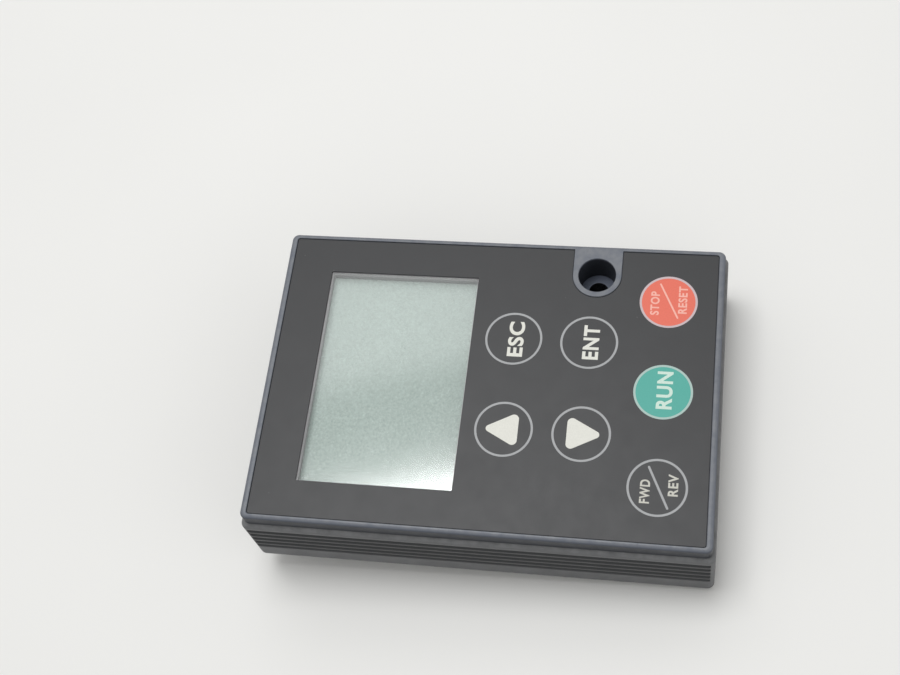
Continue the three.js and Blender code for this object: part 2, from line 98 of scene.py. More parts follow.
ROUND = 96                          # segments of a large circle
KEY_NAMES = ["escape", "up", "enter", "down", "stop", "run", "direction"]


def mm_box(node):
    """The box of a CAD node as (lowest corner, highest corner) in millimetres."""
    low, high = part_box(node)
    return low / MM, high / MM


BEZEL_HIGH = mm_box("front_bezel")[1]
HOUSING_LOW, HOUSING_HIGH = mm_box("rear_housing")
FILM_LOW, FILM_HIGH = mm_box("face_film")
SHELL_LOW, SHELL_HIGH = mm_box("connector_shell")
FILM_TOP = FILM_HIGH.z
FILM_BOTTOM = FILM_LOW.z
RIM_TOP = BEZEL_HIGH.z
REAR_Z = HOUSING_LOW.z
BOARD_BOTTOM = mm_box("circuit_board")[0].z
PARTING_Z = HOUSING_HIGH.z
FLOOR_Z = REAR_Z + HOUSING_WALL
PLATE_BOTTOM = FILM_BOTTOM - PLATE_BEHIND_FILM
BEZEL_X = BEZEL_HIGH.x
BEZEL_Y = BEZEL_HIGH.y
OUTER_X = HOUSING_HIGH.x
OUTER_Y = HOUSING_HIGH.y
CAVITY_X = OUTER_X - HOUSING_WALL
CAVITY_Y = OUTER_Y - HOUSING_END_WALL
CONNECTOR_Y = (SHELL_LOW.y + SHELL_HIGH.y) / 2
TOP_GROOVE = FILM_TOP - GROOVE["first"]
LOWEST_GROOVE = TOP_GROOVE - (GROOVE["count"] - 1) * GROOVE["pitch"]
BELOW = -5.0                        # cutters that run right through reach from here
ABOVE = RIM_TOP + 5.0


def middle(node):
    """The middle of a CAD node's box, in millimetres."""
    low, high = mm_box(node)
    return (low + high) / 2


KEYS = {name: middle(f"{name}_key_face") for name in KEY_NAMES}
CASE_SCREWS = {
    name: middle(f"case_screw_{name}")
    for name in ("top_left", "top_right", "bottom_left", "bottom_right")
}


# ---- outlines and solids
def rounded_rectangle(x, y, half_x, half_y, radius, steps=8):
    """Points of a rounded rectangle, anticlockwise."""
    points = []
    for corner in range(4):
        sign_x = 1 if corner in (0, 3) else -1
        sign_y = 1 if corner < 2 else -1
        for step in range(steps + 1):
            angle = (corner + step / steps) * math.pi / 2
            points.append((
                x + sign_x * (half_x - radius) + radius * math.cos(angle),
                y + sign_y * (half_y - radius) + radius * math.sin(angle),
            ))
    return points


def circle(x, y, radius, steps=ROUND):
    """Points of a circle, anticlockwise."""
    turn = 2 * math.pi / steps
    return [(x + radius * math.cos(i * turn), y + radius * math.sin(i * turn)) for i in range(steps)]


def fillet(radius, steps=6):
    """(how far in, how high) along a quarter circle, from its foot to its top."""
    quarter = math.pi / 2
    return [
        (radius * (1 - math.cos(i * quarter / steps)), radius * math.sin(i * quarter / steps))
        for i in range(steps + 1)
    ]


def top_edge(radius, z, steps=6):
    """Profile levels of a rounded edge that ends a solid at height z."""
    return [(inset, z - radius + height) for inset, height in fillet(radius, steps)]


def bottom_edge(radius, z, steps=6):
    """Profile levels of a rounded edge that starts a solid at height z."""
    return [(inset, z + radius - height) for inset, height in reversed(fillet(radius, steps))]


def flared_mouth(radius, z, steps=6):
    """Profile levels of a cutter that leaves a rounded edge where it comes out at height z."""
    return [(-inset, z - radius + height) for inset, height in fillet(radius, steps)]


def flared_foot(radius, z, steps=6):
    """Profile levels of a cutter that leaves a rounded edge where it goes in at height z."""
    return [(-inset, z + radius - height) for inset, height in reversed(fillet(radius, steps))]


def new_object(name, mesh):
    piece = bpy.data.objects.new(name, mesh)
    bpy.context.scene.collection.objects.link(piece)
    return piece


def loft(name, sections):
    """A closed solid through sections of equally many points, with flat ends."""
    count = len(sections[0])
    vertices = [point for section in sections for point in section]
    faces = [list(reversed(range(count)))]
    for level in range(len(sections) - 1):
        low = level * count
        high = low + count
        for i in range(count):
            j = (i + 1) % count
            faces.append([low + i, low + j, high + j, high + i])
    faces.append(list(range((len(sections) - 1) * count, len(sections) * count)))
    mesh = bpy.data.meshes.new(name)
    mesh.from_pydata(vertices, [], faces)
    repair(mesh)
    return new_object(name, mesh)


def repair(mesh):
    """Merges double points and turns all faces outwards."""
    work = bmesh.new()
    work.from_mesh(mesh)
    bmesh.ops.remove_doubles(work, verts=work.verts, dist=1e-5)
    bmesh.ops.recalc_face_normals(work, faces=work.faces)
    work.to_mesh(mesh)
    work.free()


def contoured(name, x, y, half_x, half_y, radius, profile, steps=8):
    """A rounded box whose outline is set in by the profile's first value at each height."""
    sections = []
    for inset, z in profile:
        bend = max(radius - inset, 0.05)
        outline = rounded_rectangle(x, y, half_x - inset, half_y - inset, bend, steps)
        sections.append([(px, py, z) for px, py in outline])
    return loft(name, sections)


def prism(name, outline, bottom, top):
    return loft(name, [[(x, y, z) for x, y in outline] for z in (bottom, top)])


def round_bar(name, x, y, profile, steps=ROUND):
    """A round solid from [radius, height] levels."""
    return loft(name, [[(px, py, z) for px, py in circle(x, y, r, steps)] for r, z in profile])


def round_hole(name, x, y, radius, bottom, top, mouth=0.0):
    """A cutter for a round hole, with a rounded mouth at its top if asked."""
    profile = [(0.0, bottom), (0.0, top - mouth)]
    if mouth:
        profile = [(0.0, bottom)] + flared_mouth(mouth, top) + [(-mouth, top + 1.0)]
    return round_bar(name, x, y, [(radius - inset, z) for inset, z in profile])


def combine(piece, others, operation):
    """Cuts the others out of the piece, or joins them to it, and removes them."""
    for other in others:
        modifier = piece.modifiers.new("combine", "BOOLEAN")
        modifier.operation = operation
        modifier.solver = "MANIFOLD"
        modifier.object = other
    bake_modifiers(piece)
    for other in others:
        bpy.data.objects.remove(other)
    return piece


def cut(piece, *others):
    return combine(piece, others, "DIFFERENCE")


def join(piece, *others):
    return combine(piece, others, "UNION")


def keep(piece, *others):
    return combine(piece, others, "INTERSECT")


def bake_modifiers(piece):
    """Puts the result of the piece's modifiers into its mesh."""
    bpy.context.view_layer.update()
    depsgraph = bpy.context.evaluated_depsgraph_get()
    mesh = bpy.data.meshes.new_from_object(piece.evaluated_get(depsgraph))
    piece.modifiers.clear()
    piece.data = mesh


def finish_mesh(piece, sharp_angle=32.0):
    """From millimetres to metres, with smooth shading that stops at sharp edges."""
    mesh = piece.data
    mesh.transform(Matrix.Scale(MM, 4))
    mesh.polygons.foreach_set("use_smooth", [True] * len(mesh.polygons))
    mesh.set_sharp_from_angle(angle=math.radians(sharp_angle))
    modifier = piece.modifiers.new("normals", "WEIGHTED_NORMAL")
    modifier.keep_sharp = True
    modifier.weight = 100
    bake_modifiers(piece)


def dress(piece, materials, body, replaced=()):
    """Finishes a piece's mesh and gives it its materials, body and the CAD nodes it replaces."""
    finish_mesh(piece)
    piece.data.materials.clear()
    for material in materials:
        piece.data.materials.append(material)
    if body:
        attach(piece, body)
    if replaced:
        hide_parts(*replaced)
    return piece


# ---- node materials
def srgb(red, green, blue):
    """A colour given as 0 to 255 screen values, as the linear numbers that a shader takes."""
    def linear(value):
        share = value / 255
        return share / 12.92 if share <= 0.04045 else ((share + 0.055) / 1.055) ** 2.4
    return (linear(red), linear(green), linear(blue), 1.0)


DUST = srgb(150, 150, 148)
LINT = srgb(170, 170, 168)


class Finish:
    """One procedural material: a Principled shader and the node chains that drive it."""

    def __init__(self, name, colour, roughness, **constants):
        self.material = bpy.data.materials.new(name)
        self.material.use_nodes = True
        self.tree = self.material.node_tree
        self.shader = self.tree.nodes["Principled BSDF"]
        self.shader.inputs["Base Color"].default_value = colour
        self.shader.inputs["Roughness"].default_value = roughness
        for socket, value in constants.items():
            self.shader.inputs[socket.replace("_", " ")].default_value = value
        self.place = self.node("ShaderNodeTexCoord").outputs["Object"]
        self.normal = None

    def node(self, kind, inputs=(), **settings):
        """A new node with its settings. Its inputs are constants or other nodes' sockets."""
        made = self.tree.nodes.new(kind)
        for setting, value in settings.items():
            setattr(made, setting, value)
        for socket, value in dict(inputs).items():
            self.feed(made.inputs[socket], value)
        return made

    def feed(self, socket, value):
        """Sets a socket to a constant, or links it to another socket."""
        if isinstance(value, bpy.types.NodeSocket):
            self.tree.links.new(value, socket)
        else:
            socket.default_value = value

    def noise(self, size_mm, detail=2.0, roughness=0.5, stretch=(1, 1, 1)):
        """Noise whose features are about size_mm across, in the object's own space."""
        mapping = self.node("ShaderNodeMapping", {"Scale": stretch, "Vector": self.place})
        return self.node("ShaderNodeTexNoise", {
            "Scale": 1 / (size_mm * MM), "Detail": detail, "Roughness": roughness,
            "Vector": mapping.outputs["Vector"],
        }).outputs["Fac"]

    def cells(self, size_mm):
        """Distance to the nearest of scattered points about size_mm apart."""
        texture = self.node(
            "ShaderNodeTexVoronoi", {"Scale": 1 / (size_mm * MM), "Vector": self.place})
        return texture.outputs["Distance"]

    def span(self, value, low, high, to_low, to_high):
        """Value mapped from low..high to to_low..to_high, held at the ends."""
        return self.node("ShaderNodeMapRange", {
            "Value": value, "From Min": low, "From Max": high, "To Min": to_low, "To Max": to_high,
        }, clamp=True).outputs["Result"]

    def uneven(self, size_mm, low, high, **noise):
        """A patchy value between low and high, in patches of about size_mm."""
        return self.span(self.noise(size_mm, **noise), 0.3, 0.7, low, high)

    def math(self, operation, first, second):
        made = self.node("ShaderNodeMath", {0: first, 1: second}, operation=operation)
        return made.outputs["Value"]

    def axis(self, name):
        """The X, Y or Z coordinate in the object's own space, in millimetres."""
        split = self.node("ShaderNodeSeparateXYZ", {"Vector": self.place})
        return self.math("MULTIPLY", split.outputs[name], 1 / MM)

    def blend(self, share, first, second):
        mix = self.node("ShaderNodeMix", {"Factor": share}, data_type="RGBA")
        colours = [socket for socket in mix.inputs if socket.type == "RGBA"]
        self.feed(colours[0], first)
        self.feed(colours[1], second)
        return [socket for socket in mix.outputs if socket.type == "RGBA"][0]

    def colour(self, value):
        self.feed(self.shader.inputs["Base Color"], value)

    def roughness(self, value):
        self.feed(self.shader.inputs["Roughness"], value)

    def bump(self, height, depth_mm, strength=1.0):
        """Adds a relief of about depth_mm over whatever relief there is already."""
        made = self.node("ShaderNodeBump", {
            "Strength": strength, "Distance": depth_mm * MM, "Height": height})
        if self.normal:
            self.feed(made.inputs["Normal"], self.normal)
        self.normal = made.outputs["Normal"]
        self.feed(self.shader.inputs["Normal"], self.normal)


def shade(colour, factor):
    """The same colour, lighter or darker."""
    return tuple(min(part * factor, 1.0) for part in colour[:3]) + (1.0,)


def rubbed_highlight_share(finish, low, high):
    """How much of an edge is rubbed and lit: patches that get denser from one height to another,
    partly wear and partly a painted highlight.
    """
    height = finish.span(finish.axis("Z"), low, high, 0.0, 1.0)
    patches = finish.span(finish.noise(1.6, detail=4.0), 0.3, 0.62, 0.25, 0.9)
    return finish.math("MULTIPLY", height, patches)


def band_share(finish, low, high, reach):
    """1 between two heights and as far as reach to each side of the middle in Y, and 0 outside."""
    soft = 0.1
    height = finish.axis("Z")
    along = finish.math("ABSOLUTE", finish.axis("Y"), 0.0)
    above = finish.span(height, low - soft, low + soft, 0.0, 1.0)
    below = finish.span(height, high - soft, high + soft, 1.0, 0.0)
    inside = finish.span(along, reach - soft, reach + soft, 1.0, 0.0)
    return finish.math("MULTIPLY", finish.math("MULTIPLY", above, below), inside)


def moulded_plastic(name, colour, roughness, grain_mm, grain_depth, specular=0.45,
                    rubbed_highlight=None, painted_groove_shade=None, painted_shade=None):
    """Textured injection-moulded plastic, a little uneven in tone, with dust and rubbed spots, and
    where asked a painted highlight and painted shade.

    rubbed_highlight is the lowest and highest height of a rubbed edge and its rubbed colour; its
    patches are partly wear and partly a painted highlight. painted_groove_shade is the lowest and
    highest height and the half length of a fluted band, and the factor by which the band is
    darker: painted shade of its grooves. painted_shade is the range over which the plastic turns
    darker, downwards, as painted shade below an edge, and the darkest factor. Lengths are in
    millimetres."""
    finish = Finish(name, colour, roughness, Specular_IOR_Level=specular)
    fine = finish.noise(grain_mm, detail=3.0, roughness=0.6)
    cloud = finish.uneven(9.0, 0.0, 1.0, detail=3.0)
    tone = finish.blend(cloud, shade(colour, 0.93), shade(colour, 1.07))
    tone = finish.blend(finish.span(fine, 0.35, 0.75, 0.0, 0.5), tone, shade(colour, 1.25))
    dust = finish.span(finish.cells(3.1), 0.0, 0.035, 0.35, 0.0)
    tone = finish.blend(dust, tone, DUST)
    gloss = 0.0
    # Lighter patches towards the top edge: partly wear, partly a painted highlight on the rounding.
    if rubbed_highlight:
        low, high, rubbed_highlight_colour = rubbed_highlight
        rubbed_and_lit = rubbed_highlight_share(finish, low, high)
        tone = finish.blend(rubbed_and_lit, tone, rubbed_highlight_colour)
        gloss = finish.span(rubbed_and_lit, 0.0, 1.0, 0.0, -0.12)
    # Painted shade of the grooves: the whole fluted band is made darker.
    if painted_groove_shade:
        low, high, reach, factor = painted_groove_shade
        tone = finish.blend(band_share(finish, low, high, reach), tone, shade(colour, factor))
    # Painted shade: the plastic turns darker downwards from an edge, on the walls and in the bore
    # below it.
    if painted_shade:
        low, high, factor = painted_shade
        unshaded_share = finish.span(finish.axis("Z"), low, high, 0.0, 1.0)
        tone = finish.blend(unshaded_share, shade(colour, factor), tone)
    finish.colour(tone)
    matte = finish.uneven(2.4, roughness - 0.06, roughness + 0.06, detail=3.0)
    finish.roughness(finish.math("ADD", matte, gloss))
    finish.bump(finish.noise(14.0, detail=1.0), 0.03, 0.25)
    finish.bump(fine, grain_depth)
    return finish.material


def printed_film(name, colour, roughness=0.44, specular=0.45):
    """Matte textured polyester with a fine even grain and specks of lint."""
    finish = Finish(name, colour, roughness, Specular_IOR_Level=specular)
    grain = finish.noise(0.17, detail=2.0, roughness=0.7)
    cloud = finish.uneven(12.0, 0.0, 1.0)
    tone = finish.blend(cloud, shade(colour, 0.985), shade(colour, 1.015))
    tone = finish.blend(finish.span(grain, 0.3, 0.7, 0.0, 1.0), shade(colour, 0.9), tone)
    lint = finish.span(finish.cells(4.3), 0.0, 0.028, 0.3, 0.0)
    finish.colour(finish.blend(lint, tone, LINT))
    finish.roughness(finish.uneven(3.0, roughness - 0.02, roughness + 0.02, detail=3.0))
    finish.bump(grain, 0.006, 0.8)
    return finish.material


def metal(name, colour, roughness, grain_mm=0.3, stretch=(1, 1, 1)):
    """Plated or machined metal with small marks and uneven polish."""
    finish = Finish(name, colour, roughness, Metallic=1.0)
    marks = finish.noise(grain_mm, detail=4.0, stretch=stretch)
    stain = finish.span(finish.noise(2.2, detail=3.0), 0.35, 0.75, 0.0, 1.0)
    finish.colour(finish.blend(stain, colour, shade(colour, 0.78)))
    finish.roughness(finish.span(marks, 0.25, 0.75, roughness - 0.08, roughness + 0.12))
    finish.bump(marks, 0.004, 0.6)
    return finish.material


# ---- front bezel
def tab_outline(reach):
    """The U-shaped tab round the fixing screw, from the side rim inwards."""
    edge = BEZEL_X - RIM_OUTER_ROUNDING - 0.02
    steps = 40
    arc = [math.pi / 2 + math.pi * i / steps for i in range(steps + 1)]
    points = [(edge, FIXING["y"] - reach), (edge, FIXING["y"] + reach)]
    for angle in arc:
        points.append((FIXING["x"] + reach * math.cos(angle), FIXING["y"] + reach * math.sin(angle)))
    return points


def build_tab(top):
    rounding = RIM_INNER_ROUNDING
    levels = [(0.0, PLATE_BOTTOM)] + top_edge(rounding, top)
    return loft("tab", [
        [(x, y, z) for x, y in tab_outline(FIXING["boss"] - inset)] for inset, z in levels
    ])


def fixing_hole_cutters():
    """The counterbore for the screw head and the hole through its floor."""
    x, y = FIXING["x"], FIXING["y"]
    floor = FILM_TOP - FIXING["depth"]
    rounding = 0.16
    levels = [(0.0, floor), (0.0, floor + 0.02)] + flared_mouth(rounding, RIM_TOP)
    levels.append((-rounding, RIM_TOP + 1.0))
    bore = round_bar("bore", x, y, [(FIXING["bore"] - inset, z) for inset, z in levels])
    hole = round_hole("hole", x, y, FIXING["hole"], BELOW, floor, mouth=0.15)
    return bore, hole


def build_bezel(material, recess_material):
    lip_bottom = PARTING_Z + 0.05
    bezel = contoured(
        "front_bezel_shell", 0, 0, BEZEL_X, BEZEL_Y, CORNER_RADIUS,
        bottom_edge(0.12, lip_bottom) + top_edge(RIM_OUTER_ROUNDING, RIM_TOP, 10), 12)
    pocket = contoured(
        "pocket", 0, 0, BEZEL_X - RIM_SIDE, BEZEL_Y - RIM_END, FILM_CORNER + 0.1,
        [(0.0, FILM_BOTTOM - 0.05)] + flared_mouth(RIM_INNER_ROUNDING, RIM_TOP)
        + [(-RIM_INNER_ROUNDING, RIM_TOP + 1.0)])
    skirt_x, skirt_y = CAVITY_X - SKIRT_GAP, CAVITY_Y - SKIRT_GAP
    hollow_outline = rounded_rectangle(0, 0, skirt_x - SKIRT_WALL, skirt_y - SKIRT_WALL, 0.5)
    hollow = prism("hollow", hollow_outline, BELOW, PLATE_BOTTOM)
    skirt = contoured(
        "skirt", 0, 0, skirt_x, skirt_y, 0.8,
        bottom_edge(0.3, PARTING_Z - SKIRT_DEPTH) + [(0.0, PARTING_Z + 1.0)])
    cut(bezel, pocket)
    join(bezel, skirt)
    cut(bezel, hollow)
    x, y, half_x, half_y = OPENING
    window_hole = prism(
        "window_hole", rounded_rectangle(x, y, half_x, half_y, OPENING_CORNER), BELOW, ABOVE)
    seat_z = middle("display_window").z - 0.55
    window_pocket = prism("window_pocket", rounded_rectangle(
        x, y, half_x + WINDOW_SEAT, half_y + WINDOW_SEAT, 0.8), seat_z, ABOVE)
    key_holes = [
        round_hole("key_hole", key.x, key.y, KEY_RING + 0.15, BELOW, ABOVE) for key in KEYS.values()
    ]
    cut(bezel, window_hole, window_pocket, *key_holes)
    top = PLATE_BOTTOM + 0.5
    pillar_levels = [(SCREW["pillar"], REAR_Z + SCREW["split"] + 0.15), (SCREW["pillar"], top)]
    pillars = [round_bar("pillar", s.x, s.y, pillar_levels, 40) for s in CASE_SCREWS.values()]
    boss = round_bar("boss", FIXING["x"], FIXING["y"],
                     [(FIXING["boss"], FLOOR_Z + 0.3), (FIXING["boss"], top)])
    join(bezel, boss, build_tab(RIM_TOP), *pillars)
    pilots = [
        round_hole("pilot", s.x, s.y, SCREW["shank"] + 0.1, BELOW, FILM_TOP - 4.3)
        for s in CASE_SCREWS.values()
    ]
    cut(bezel, *fixing_hole_cutters(), *pilots)
    dress(bezel, [material, recess_material], CASE, ["front_bezel"])
    recess_floor = Vector((FIXING["x"], FIXING["y"], FILM_TOP - FIXING["depth"]))
    for polygon in bezel.data.polygons:
        away = polygon.center / MM - recess_floor
        if abs(away.z) < 0.05 and away.xy.length < FIXING["bore"] and polygon.normal.z > 0.9:
            polygon.material_index = 1


# ---- rear housing
def groove_cutter(side, z):
    """One groove of a side wall, with softened ridge corners and slightly raised ends."""
    depth, floor = GROOVE["depth"], GROOVE["floor"] / 2
    mouth = GROOVE["mouth"] / 2
    half = [(depth, floor - 0.1), (depth - 0.1, floor + 0.02), (0.16, mouth - 0.06),
            (0.07, mouth), (0.02, mouth + 0.06), (-0.3, mouth + 0.1)]
    section = half + [(d, -h) for d, h in reversed(half)]
    reach = OUTER_Y - GROOVE["end"]
    stations = [(-reach, 0.7), (-reach + 0.2, 1.0), (reach - 0.2, 1.0), (reach, 0.7)]
    return loft("groove", [
        [(side * (OUTER_X - d * (share if d > 0 else 1.0)), y, z + h) for d, h in section]
        for y, share in stations
    ])


def d_outline(width, height, steps=8):
    """The connector's D outline: parallel long sides, short sides that lean in, round corners."""
    lean = height * math.tan(CONNECTOR["lean"])
    corners = [
        Vector((-width / 2 + lean, -height / 2)), Vector((width / 2 - lean, -height / 2)),
        Vector((width / 2, height / 2)), Vector((-width / 2, height / 2)),
    ]
    points = []
    for i, corner in enumerate(corners):
        before = corner + (corners[i - 1] - corner).normalized() * CONNECTOR["bend"]
        after = corner + (corners[(i + 1) % 4] - corner).normalized() * CONNECTOR["bend"]
        for step in range(steps + 1):
            t = step / steps
            point = (1 - t) ** 2 * before + 2 * t * (1 - t) * corner + t * t * after
            points.append((point.x, point.y + CONNECTOR_Y))
    return points


def d_solid(name, width, height, profile):
    """A solid with the D outline, set in by the profile's first value at each height."""
    return loft(name, [
        [(x, y, z) for x, y in d_outline(width - 2 * inset, height - 2 * inset)]
        for inset, z in profile
    ])


def build_housing(material):
    housing = contoured(
        "rear_housing_shell", 0, 0, OUTER_X, OUTER_Y, CORNER_RADIUS,
        bottom_edge(REAR_ROUNDING, REAR_Z, 10) + top_edge(SHOULDER_ROUNDING, PARTING_Z, 10), 12)
    cavity = prism("cavity", rounded_rectangle(0, 0, CAVITY_X, CAVITY_Y, 0.8), FLOOR_Z, ABOVE)
    cut(housing, cavity)
    head_hole = SCREW["head_hole"]
    pillar = head_hole + 0.6
    pillar_levels = [(pillar, REAR_Z + 1), (pillar, REAR_Z + SCREW["split"] - 0.15)]
    pillars = [round_bar("pillar", s.x, s.y, pillar_levels, 48) for s in CASE_SCREWS.values()]
    posts = [
        round_bar("post", x, y, [(POST_RADIUS, REAR_Z + 1), (POST_RADIUS, BOARD_BOTTOM - 0.05)], 32)
        for x, y in POSTS
    ]
    join(housing, *pillars, *posts)
    cutters = []
    for side in (-1, 1):
        for i in range(GROOVE["count"]):
            cutters.append(groove_cutter(side, TOP_GROOVE - i * GROOVE["pitch"]))
        cutters.append(round_bar("jack_hole", side * JACK["x"], CONNECTOR_Y,
                                 [(JACK["hole"], BELOW), (JACK["hole"], ABOVE)], 48))
    well_foot = [(-0.25, BELOW)] + flared_foot(0.25, REAR_Z)
    for s in CASE_SCREWS.values():
        levels = well_foot + [(0.0, REAR_Z + SCREW["seat"])]
        cutters.append(round_bar("well", s.x, s.y, [(head_hole - i, z) for i, z in levels], 48))
        cutters.append(round_bar("clearance", s.x, s.y, [
            (SCREW["shank"] + 0.25, BELOW), (SCREW["shank"] + 0.25, ABOVE)], 32))
    cutters.append(round_bar("through", FIXING["x"], FIXING["y"], [
        (FIXING["hole"] + 0.2 - i, z) for i, z in well_foot + [(0.0, ABOVE)]], 48))
    cutters.append(d_solid("shell_hole", CONNECTOR["width"] + 0.7, CONNECTOR["height"] + 0.7,
                           well_foot + [(0.0, ABOVE)]))
    label = middle("rear_label")
    label_half = mm_box("rear_label")[1] - label
    cutters.append(contoured(
        "label_recess", label.x, label.y, label_half.x + 0.2, label_half.y + 0.2, 1.0,
        [(-0.08, BELOW)] + flared_foot(0.08, REAR_Z) + [(0.0, REAR_Z + LABEL_RECESS)]))
    cut(housing, *cutters)
    return dress(housing, [material], CASE, ["rear_housing"])


# ---- film and keys
def build_film(material):
    film = contoured(
        "membrane_film", 0, 0, FILM_HIGH.x, FILM_HIGH.y, FILM_CORNER,
        bottom_edge(0.03, FILM_BOTTOM, 2) + top_edge(0.04, FILM_TOP, 4))
    window = contoured(
        "window", *WINDOW, WINDOW_CORNER,
        [(0.0, FILM_BOTTOM - 1.0)] + flared_mouth(0.03, FILM_TOP, 3) + [(-0.03, FILM_TOP + 1.0)])
    tab = prism("tab", tab_outline(FIXING["boss"] + 0.1), FILM_BOTTOM - 1.0, FILM_TOP + 1.0)
    holes = [
        prism("hole", circle(k.x, k.y, KEY_PATCH), FILM_BOTTOM - 1.0, FILM_TOP + 1.0)
        for k in KEYS.values()
    ]
    cut(film, window, tab, *holes)
    return dress(film, [material], CASE, ["face_film"])


def key_face_height(radius):
    """Height of a key's face: level with the film outside the flexing ring, a hair lower inside."""
    inner, outer = KEY_FLEX
    share = min(max((outer - radius) / (outer - inner), 0.0), 1.0)
    return FILM_TOP - KEY_STEP * share


def build_key_face(name, centre, film, ring, fill):
    """The round piece of film over one key. It follows the case at its edge and the key inside."""
    inner, outer = KEY_FLEX
    ring_inner = KEY_RING - KEY_RING_STROKE
    steps = 10
    radii = [outer - (outer - inner) * i / steps for i in range(steps + 1)]
    radii = sorted(set(radii + [KEY_RING, ring_inner, inner - 0.05]), reverse=True)
    levels = [(KEY_RING - 0.05, FILM_BOTTOM), (KEY_PATCH, FILM_TOP)]
    levels += [(radius, key_face_height(radius)) for radius in radii]
    face = round_bar(f"{name}_key_film", centre.x, centre.y, levels)
    dress(face, [film, ring, fill], None, [f"{name}_key_face"])
    for polygon in face.data.polygons:
        place = polygon.center / MM
        away = math.hypot(place.x - centre.x, place.y - centre.y)
        if polygon.normal.z > 0.5 and away < KEY_RING:
            polygon.material_index = 1 if away > ring_inner else 2
    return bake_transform(face)


PRINT_LOW = FILM_TOP - KEY_STEP - 0.003         # the print sinks a little into a key's face
PRINT_HIGH = FILM_TOP - KEY_STEP + 0.006
BOLD = 0.032                        # how far a word's outline is pushed out, in font units
LIGHT = 0.028
SPACING = 1.12                      # of the letters

# For each key: words with their offset from its centre, height, width and weight.
WORDS = {
    "escape": [("ESC", (-0.07, -0.43), 2.75, 6.7, BOLD)],
    "enter": [("ENT", (0.03, -0.35), 2.75, 6.5, BOLD)],
    "run": [("RUN", (0.33, -0.26), 2.7, 6.9, BOLD)],
    "stop": [("STOP", (-0.33, 2.33), 1.55, 4.6, LIGHT), ("RESET", (0.51, -2.44), 1.55, 5.3, LIGHT)],
    "direction": [("FWD", (-0.78, 1.98), 1.65, 4.1, LIGHT), ("REV", (0.58, -2.59), 1.65, 3.8, LIGHT)],
}
# For each key: the ends of a line between its words, from its centre, and the line's width.
SLASHES = {
    "stop": ((3.43, 1.53), (-3.02, -1.68), 0.3),
    "direction": ((3.5, 1.53), (-3.46, -1.82), KEY_RING_STROKE),
}
ARROW_CORNERS = [(0.0, 3.75, 0.62), (-3.3, -2.45, 0.82), (3.3, -2.45, 0.82)]    # x, y, radius


def word(text, x, y, height, width, weight):
    """A printed word in the plain built-in font, centred, with its real height and width."""
    curve = bpy.data.curves.new(f"word_{text}", "FONT")
    curve.body = text
    curve.align_x = "CENTER"
    curve.offset = weight
    curve.resolution_u = 6
    curve.space_character = SPACING
    source = new_object("word", curve)
    bpy.context.view_layer.update()
    depsgraph = bpy.context.evaluated_depsgraph_get()
    flat = bpy.data.meshes.new_from_object(source.evaluated_get(depsgraph))
    bpy.data.objects.remove(source)
    work = bmesh.new()
    work.from_mesh(flat)
    bmesh.ops.remove_doubles(work, verts=work.verts, dist=1e-4)
    left = min(v.co.x for v in work.verts)
    right = max(v.co.x for v in work.verts)
    foot = min(v.co.y for v in work.verts)
    head = max(v.co.y for v in work.verts)
    for v in work.verts:
        v.co.x = x + (v.co.x - (left + right) / 2) * width / (right - left)
        v.co.y = y + (v.co.y - (foot + head) / 2) * height / (head - foot)
        v.co.z = PRINT_HIGH
    raised = bmesh.ops.extrude_face_region(work, geom=work.faces[:])
    for item in raised["geom"]:
        if isinstance(item, bmesh.types.BMVert):
            item.co.z = PRINT_LOW
    bmesh.ops.recalc_face_normals(work, faces=work.faces)
    work.to_mesh(flat)
    work.free()
    return new_object("word", flat)


def stroke(start, end, width):
    """A printed line with round ends."""
    ahead = Vector(end) - Vector(start)
    turn = math.atan2(ahead.y, ahead.x)
    steps = 8
    points = []
    for point, begin in ((end, turn - math.pi / 2), (start, turn + math.pi / 2)):
        for i in range(steps + 1):
            angle = begin + math.pi * i / steps
            points.append((point[0] + width / 2 * math.cos(angle),
                           point[1] + width / 2 * math.sin(angle)))
    return prism("stroke", points, PRINT_LOW, PRINT_HIGH)


def arrow(x, y, direction):
    """A printed triangle with round corners that points along +Y or -Y."""
    corners = [Vector((cx, cy)) for cx, cy, _ in ARROW_CORNERS]
    points = []
    steps = 12
    for i, (_, _, radius) in enumerate(ARROW_CORNERS):
        incoming = corners[i] - corners[i - 1]
        outgoing = corners[(i + 1) % 3] - corners[i]
        inwards = outgoing.normalized() - incoming.normalized()
        half = outgoing.angle(-incoming) / 2
        centre = corners[i] + inwards.normalized() * radius / math.sin(half)
        begin = math.atan2(incoming.y, incoming.x) - math.pi / 2
        sweep = incoming.angle_signed(outgoing)
        for step in range(steps + 1):
            angle = begin - sweep * step / steps
            points.append((x + centre.x + radius * math.cos(angle),
                           y + direction * (centre.y + radius * math.sin(angle))))
    return prism("arrow", points, PRINT_LOW, PRINT_HIGH)


def merge_meshes(name, parts):
    """One object from several separate closed solids."""
    work = bmesh.new()
    for part in parts:
        work.from_mesh(part.data)
        bpy.data.objects.remove(part)
    mesh = bpy.data.meshes.new(name)
    work.to_mesh(mesh)
    work.free()
    repair(mesh)
    return new_object(name, mesh)


def add_print(name, key, parts, material):
    piece = merge_meshes(name, parts)
    return dress(piece, [material], f"{key}_key")


def words_on(key):
    centre = KEYS[key]
    return [
        word(text, centre.x + x, centre.y + y, height, width, weight)
        for text, (x, y), height, width, weight in WORDS[key]
    ]


def slash_on(key):
    start, end, width = SLASHES[key]
    centre = KEYS[key].xy
    return stroke(centre + Vector(start), centre + Vector(end), width)


